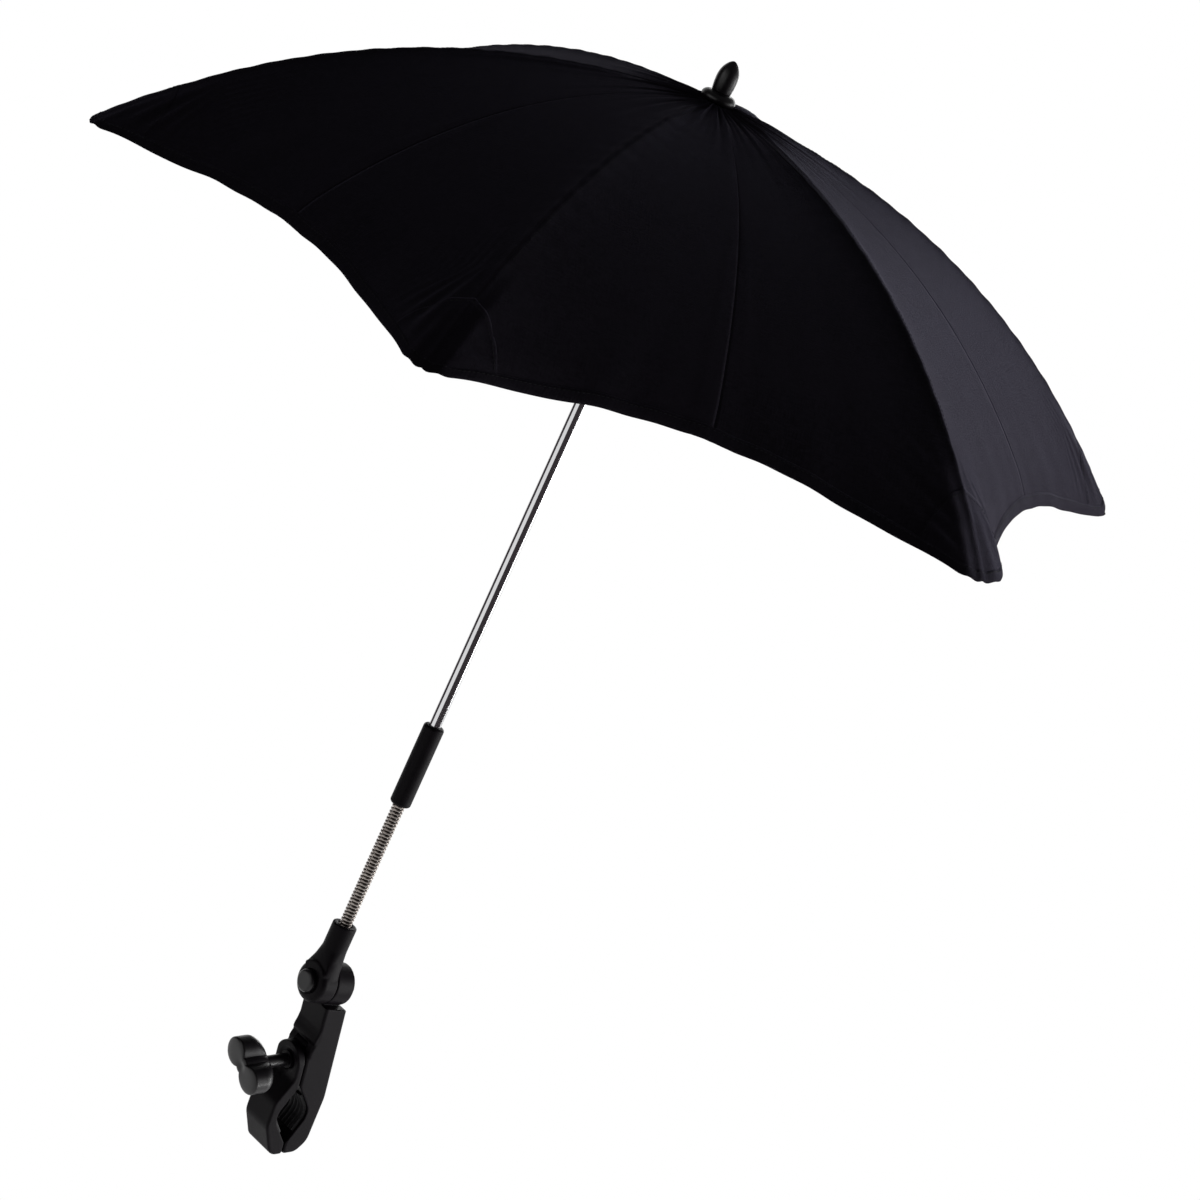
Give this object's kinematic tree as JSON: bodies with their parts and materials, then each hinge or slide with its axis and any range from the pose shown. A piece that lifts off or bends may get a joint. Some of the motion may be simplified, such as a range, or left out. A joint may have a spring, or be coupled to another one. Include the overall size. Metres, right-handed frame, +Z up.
{
  "type": "pram parasol",
  "caption": "Folding cloth parasol on a chrome tube with a coil gooseneck, a tilting push-button hinge and a screw clamp that grips a pram's tube.",
  "frame": {"origin": "middle of the clamp's mouth, on the axis of the tube that it grips", "axes": "+Z up along the shaft, Y along the gripped tube, X along the pin of the tilt hinge with the knob towards -X"},
  "size_m": [0.6073, 0.7004, 0.7778],
  "materials": {
    "cloth": "woven, slight sheen",
    "chrome_tube": "polished",
    "satin_plastic": "satin",
    "gloss_plastic": "gloss",
    "coil_steel": "drawn wire",
    "rib_steel": "black enamel",
    "plated_steel": "zinc plated",
    "tip_plastic": "satin",
    "pad_rubber": "matte"
  },
  "bodies": {
    "clamp_body": {"fixed_jaw": "satin_plastic", "fixed_jaw_pad": "pad_rubber", "jaw_hinge_pin": "plated_steel", "clamp_nut": "plated_steel", "tilt_bolt": "plated_steel"},
    "front_jaw": {"movable_jaw": "satin_plastic", "movable_jaw_pad": "pad_rubber"},
    "washer_slide": {"clamp_washer": "plated_steel"},
    "clamp_screw": {"wing_knob": "satin_plastic", "screw_rod": "plated_steel"},
    "tilt_socket": {"socket": "satin_plastic", "gooseneck_spring": "coil_steel", "neck_core_1": "coil_steel", "button_spring": "coil_steel"},
    "push_button": {"tilt_button": "gloss_plastic"},
    "neck_link_2": {"neck_core_2": "coil_steel"},
    "neck_link_3": {"neck_core_3": "coil_steel"},
    "neck_link_4": {"neck_core_4": "coil_steel"},
    "neck_link_5": {"neck_core_5": "coil_steel"},
    "neck_link_6": {"neck_core_6": "coil_steel"},
    "shaft": {"neck_core_7": "coil_steel", "shaft_tube": "chrome_tube", "sleeve": "satin_plastic", "crown": "satin_plastic", "crown_wire": "plated_steel", "crown_cap": "gloss_plastic", "finial": "gloss_plastic"},
    "catch": {"catch_leaf": "plated_steel"},
    "runner_slide": {"runner": "satin_plastic", "runner_wire": "plated_steel"},
    "rib_arm_1": {"rib_1": "rib_steel", "rib_tip_1": "tip_plastic", "rib_rivet_1": "rib_steel", "canopy_panel_1": "cloth"},
    "stretcher_arm_1": {"stretcher_1": "rib_steel"},
    "rib_arm_2": {"rib_2": "rib_steel", "rib_tip_2": "tip_plastic", "rib_rivet_2": "rib_steel", "canopy_panel_2": "cloth"},
    "stretcher_arm_2": {"stretcher_2": "rib_steel"},
    "rib_arm_3": {"rib_3": "rib_steel", "rib_tip_3": "tip_plastic", "rib_rivet_3": "rib_steel", "canopy_panel_3": "cloth"},
    "stretcher_arm_3": {"stretcher_3": "rib_steel"},
    "rib_arm_4": {"rib_4": "rib_steel", "rib_tip_4": "tip_plastic", "rib_rivet_4": "rib_steel", "canopy_panel_4": "cloth"},
    "stretcher_arm_4": {"stretcher_4": "rib_steel"},
    "rib_arm_5": {"rib_5": "rib_steel", "rib_tip_5": "tip_plastic", "rib_rivet_5": "rib_steel", "canopy_panel_5": "cloth"},
    "stretcher_arm_5": {"stretcher_5": "rib_steel"},
    "rib_arm_6": {"rib_6": "rib_steel", "rib_tip_6": "tip_plastic", "rib_rivet_6": "rib_steel", "canopy_panel_6": "cloth"},
    "stretcher_arm_6": {"stretcher_6": "rib_steel"}
  },
  "joints": [
    {"name": "clamp_tilt", "type": "hinge", "parent": "clamp_body", "child": "tilt_socket", "pos_m": [-0.01514, 0, 0.09288], "axis": [1, 0, 0], "range_deg": [-90, 90]},
    {"name": "button_press", "type": "slide", "parent": "tilt_socket", "child": "push_button", "axis": [1, 0, 0], "range_m": [0, 0.003], "stiffness_N_per_m": 800, "springref_m": -0.003, "deforming": ["button_spring"]},
    {"name": "neck_bend_fore_1", "type": "hinge", "parent": "tilt_socket", "child": "neck_link_2", "pos_m": [-0.01514, 0, 0.1433], "axis": [1, 0, 0], "range_deg": [-25, 25], "deforming": ["gooseneck_spring"]},
    {"name": "neck_bend_side_1", "type": "hinge", "parent": "neck_link_2", "child": "neck_link_3", "pos_m": [-0.01514, 0, 0.15813], "axis": [0, 1, 0], "range_deg": [-25, 25], "deforming": ["gooseneck_spring"]},
    {"name": "neck_bend_fore_2", "type": "hinge", "parent": "neck_link_3", "child": "neck_link_4", "pos_m": [-0.01514, 0, 0.17297], "axis": [1, 0, 0], "range_deg": [-25, 25], "deforming": ["gooseneck_spring"]},
    {"name": "neck_bend_side_2", "type": "hinge", "parent": "neck_link_4", "child": "neck_link_5", "pos_m": [-0.01514, 0, 0.1878], "axis": [0, 1, 0], "range_deg": [-25, 25], "deforming": ["gooseneck_spring"]},
    {"name": "neck_bend_fore_3", "type": "hinge", "parent": "neck_link_5", "child": "neck_link_6", "pos_m": [-0.01514, 0, 0.20263], "axis": [1, 0, 0], "range_deg": [-25, 25], "deforming": ["gooseneck_spring"]},
    {"name": "neck_bend_side_3", "type": "hinge", "parent": "neck_link_6", "child": "shaft", "pos_m": [-0.01514, 0, 0.21746], "axis": [0, 1, 0], "range_deg": [-25, 25], "deforming": ["gooseneck_spring"]},
    {"name": "canopy_fold", "type": "hinge", "parent": "shaft", "child": "rib_arm_1", "pos_m": [-0.00648, 0.005, 0.71743], "axis": [-0.5, 0.866, 0], "range_deg": [0, 65], "deforming": ["canopy_panel_1", "canopy_panel_2", "canopy_panel_3", "canopy_panel_4", "canopy_panel_5", "canopy_panel_6", "catch_leaf"]},
    {"name": "rib_hinge_2", "type": "hinge", "parent": "shaft", "child": "rib_arm_2", "pos_m": [-0.01514, 0.01, 0.71743], "axis": [-1, 0, 0], "range_deg": [0, 65], "deforming": ["canopy_panel_1", "canopy_panel_2", "canopy_panel_3", "canopy_panel_4", "canopy_panel_5", "canopy_panel_6", "catch_leaf"]},
    {"name": "rib_hinge_3", "type": "hinge", "parent": "shaft", "child": "rib_arm_3", "pos_m": [-0.0238, 0.005, 0.71743], "axis": [-0.5, -0.866, 0], "range_deg": [0, 65], "deforming": ["canopy_panel_1", "canopy_panel_2", "canopy_panel_3", "canopy_panel_4", "canopy_panel_5", "canopy_panel_6", "catch_leaf"]},
    {"name": "rib_hinge_4", "type": "hinge", "parent": "shaft", "child": "rib_arm_4", "pos_m": [-0.0238, -0.005, 0.71743], "axis": [0.5, -0.866, 0], "range_deg": [0, 65], "deforming": ["canopy_panel_1", "canopy_panel_2", "canopy_panel_3", "canopy_panel_4", "canopy_panel_5", "canopy_panel_6", "catch_leaf"]},
    {"name": "rib_hinge_5", "type": "hinge", "parent": "shaft", "child": "rib_arm_5", "pos_m": [-0.01514, -0.01, 0.71743], "axis": [1, 0, 0], "range_deg": [0, 65], "deforming": ["canopy_panel_1", "canopy_panel_2", "canopy_panel_3", "canopy_panel_4", "canopy_panel_5", "canopy_panel_6", "catch_leaf"]},
    {"name": "rib_hinge_6", "type": "hinge", "parent": "shaft", "child": "rib_arm_6", "pos_m": [-0.00648, -0.005, 0.71743], "axis": [0.5, 0.866, 0], "range_deg": [0, 65], "deforming": ["canopy_panel_1", "canopy_panel_2", "canopy_panel_3", "canopy_panel_4", "canopy_panel_5", "canopy_panel_6", "catch_leaf"]},
    {"name": "stretcher_hinge_1", "type": "hinge", "parent": "rib_arm_1", "child": "stretcher_arm_1", "pos_m": [0.13728, 0.088, 0.68426], "axis": [-0.5, 0.866, 0], "range_deg": [-131, 0], "deforming": ["canopy_panel_1", "canopy_panel_2", "canopy_panel_3", "canopy_panel_4", "canopy_panel_5", "canopy_panel_6", "catch_leaf"]},
    {"name": "stretcher_hinge_2", "type": "hinge", "parent": "rib_arm_2", "child": "stretcher_arm_2", "pos_m": [-0.01514, 0.176, 0.68426], "axis": [-1, 0, 0], "range_deg": [-131, 0], "deforming": ["canopy_panel_1", "canopy_panel_2", "canopy_panel_3", "canopy_panel_4", "canopy_panel_5", "canopy_panel_6", "catch_leaf"]},
    {"name": "stretcher_hinge_3", "type": "hinge", "parent": "rib_arm_3", "child": "stretcher_arm_3", "pos_m": [-0.16756, 0.088, 0.68426], "axis": [-0.5, -0.866, 0], "range_deg": [-131, 0], "deforming": ["canopy_panel_1", "canopy_panel_2", "canopy_panel_3", "canopy_panel_4", "canopy_panel_5", "canopy_panel_6", "catch_leaf"]},
    {"name": "stretcher_hinge_4", "type": "hinge", "parent": "rib_arm_4", "child": "stretcher_arm_4", "pos_m": [-0.16756, -0.088, 0.68426], "axis": [0.5, -0.866, 0], "range_deg": [-131, 0], "deforming": ["canopy_panel_1", "canopy_panel_2", "canopy_panel_3", "canopy_panel_4", "canopy_panel_5", "canopy_panel_6", "catch_leaf"]},
    {"name": "stretcher_hinge_5", "type": "hinge", "parent": "rib_arm_5", "child": "stretcher_arm_5", "pos_m": [-0.01514, -0.176, 0.68426], "axis": [1, 0, 0], "range_deg": [-131, 0], "deforming": ["canopy_panel_1", "canopy_panel_2", "canopy_panel_3", "canopy_panel_4", "canopy_panel_5", "canopy_panel_6", "catch_leaf"]},
    {"name": "stretcher_hinge_6", "type": "hinge", "parent": "rib_arm_6", "child": "stretcher_arm_6", "pos_m": [0.13728, -0.088, 0.68426], "axis": [0.5, 0.866, 0], "range_deg": [-131, 0], "deforming": ["canopy_panel_1", "canopy_panel_2", "canopy_panel_3", "canopy_panel_4", "canopy_panel_5", "canopy_panel_6", "catch_leaf"]},
    {"name": "runner_travel", "type": "slide", "parent": "shaft", "child": "runner_slide", "axis": [0, 0, -1], "range_m": [0, 0.26309], "deforming": ["canopy_panel_1", "canopy_panel_2", "canopy_panel_3", "canopy_panel_4", "canopy_panel_5", "canopy_panel_6", "catch_leaf"]},
    {"name": "catch_press", "type": "slide", "parent": "shaft", "child": "catch", "axis": [-1, 0, 0], "range_m": [0, 0.003], "stiffness_N_per_m": 500, "springref_m": -0.002},
    {"name": "washer_travel", "type": "slide", "parent": "clamp_body", "child": "washer_slide", "axis": [-0.9781, 0, -0.2079], "range_m": [0, 0.00852]},
    {"name": "knob_turn", "type": "hinge", "parent": "washer_slide", "child": "clamp_screw", "pos_m": [-0.03013, 0, 0.03091], "axis": [-0.9781, 0, -0.2079], "range_deg": [0, 2048.84]},
    {"name": "jaw_open", "type": "hinge", "parent": "clamp_body", "child": "front_jaw", "pos_m": [-0.00508, 0, 0.04748], "axis": [0, 1, 0], "range_deg": [0, 18.2]}
  ],
  "couplings": [
    {"joint": "rib_hinge_2", "follows": "canopy_fold", "ratio": 1},
    {"joint": "rib_hinge_3", "follows": "canopy_fold", "ratio": 1},
    {"joint": "rib_hinge_4", "follows": "canopy_fold", "ratio": 1},
    {"joint": "rib_hinge_5", "follows": "canopy_fold", "ratio": 1},
    {"joint": "rib_hinge_6", "follows": "canopy_fold", "ratio": 1},
    {"joint": "stretcher_hinge_1", "follows": "canopy_fold", "ratio": -2},
    {"joint": "stretcher_hinge_2", "follows": "canopy_fold", "ratio": -2},
    {"joint": "stretcher_hinge_3", "follows": "canopy_fold", "ratio": -2},
    {"joint": "stretcher_hinge_4", "follows": "canopy_fold", "ratio": -2},
    {"joint": "stretcher_hinge_5", "follows": "canopy_fold", "ratio": -2},
    {"joint": "stretcher_hinge_6", "follows": "canopy_fold", "ratio": -2},
    {"joint": "runner_travel", "follows": "canopy_fold", "m_per_rad": 0.23147},
    {"joint": "knob_turn", "follows": "washer_travel", "rad_per_m": 4188.8},
    {"joint": "jaw_open", "follows": "washer_travel", "rad_per_m": 36.891}
  ]
}
